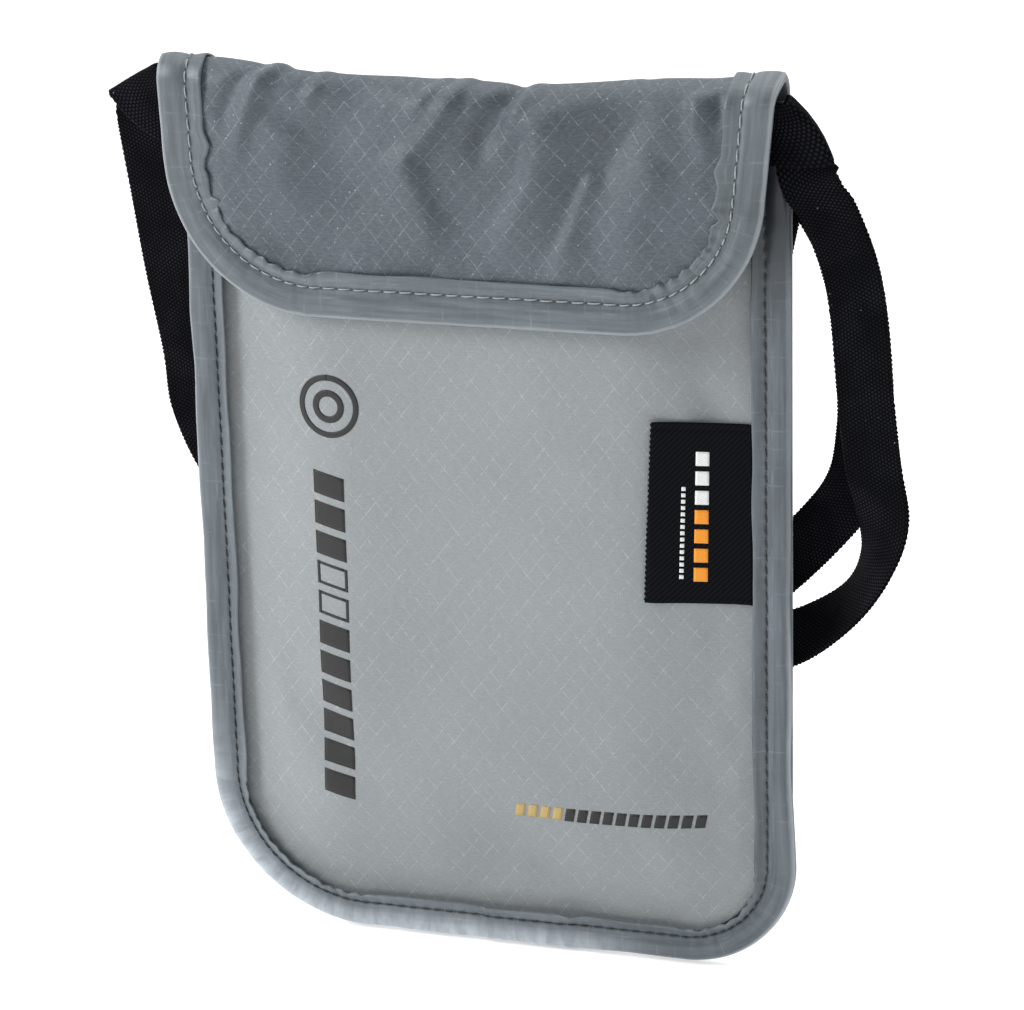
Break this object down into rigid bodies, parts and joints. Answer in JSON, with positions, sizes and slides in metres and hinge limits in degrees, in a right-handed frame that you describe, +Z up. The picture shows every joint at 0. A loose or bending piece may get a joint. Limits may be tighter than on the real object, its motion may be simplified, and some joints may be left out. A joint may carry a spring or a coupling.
{
  "type": "neck pouch wallet",
  "caption": "Flat fabric travel wallet with a hinged front flap, bound edges, a side label tab and a black webbing neck strap gathered behind it.",
  "frame": {"origin": "crest of the top fold, midway between the two sewn ends of the neck strap, where the pouch hangs from the neck", "axes": "+Z up along the pouch's height, +X to the right across its width seen from the front, -Y out of the front"},
  "size_m": [0.1876, 0.0271, 0.215],
  "materials": {
    "light_nylon": "satin ripstop",
    "grey_nylon": "satin ripstop",
    "binding_tape": "satin",
    "dark_lining": "matt",
    "shield_foil": "matt foil laminate",
    "hook_and_loop": "matt",
    "zip_tape": "matt",
    "zip_coil": "satin",
    "zip_metal": "satin",
    "label_twill": "twill",
    "black_webbing": "fine weave",
    "black_thread": "matt"
  },
  "bodies": {
    "pouch": {"back_panel": "grey_nylon", "inner_panel": "grey_nylon", "front_panel": "light_nylon", "shield_liner": "shield_foil", "mouth_hem": "binding_tape", "body_binding": "binding_tape", "loop_patch": "hook_and_loop", "zip_tape_upper": "zip_tape", "zip_tape_lower": "zip_tape", "zip_coil_upper": "zip_coil", "zip_coil_lower": "zip_coil", "zip_stop_left": "zip_metal", "zip_stop_right": "zip_metal", "neck_strap": "black_webbing", "strap_tack_left": "black_thread", "strap_tack_right": "black_thread"},
    "flap": {"flap_panel": "grey_nylon", "flap_lining": "dark_lining", "flap_binding": "binding_tape", "hook_patch": "hook_and_loop"},
    "slider": {"zip_slider": "zip_metal"},
    "puller": {"zip_puller": "zip_metal"},
    "label": {"side_label": "label_twill"}
  },
  "joints": [
    {"name": "flap_hinge", "type": "hinge", "parent": "pouch", "child": "flap", "pos_m": [0, -0.0042, 0.0004], "axis": [-1, 0, 0], "range_deg": [0, 180]},
    {"name": "zip_slide", "type": "slide", "parent": "pouch", "child": "slider", "axis": [1, 0, 0], "range_m": [-0.076, 0]},
    {"name": "puller_swing", "type": "hinge", "parent": "slider", "child": "puller", "pos_m": [0.038, -0.0034, -0.021], "axis": [0, 1, 0], "range_deg": [-70, 70]},
    {"name": "label_fold", "type": "hinge", "parent": "pouch", "child": "label", "pos_m": [0.0629, -0.0021, -0.1015], "axis": [0, 0, 1], "range_deg": [0, 140]}
  ]
}
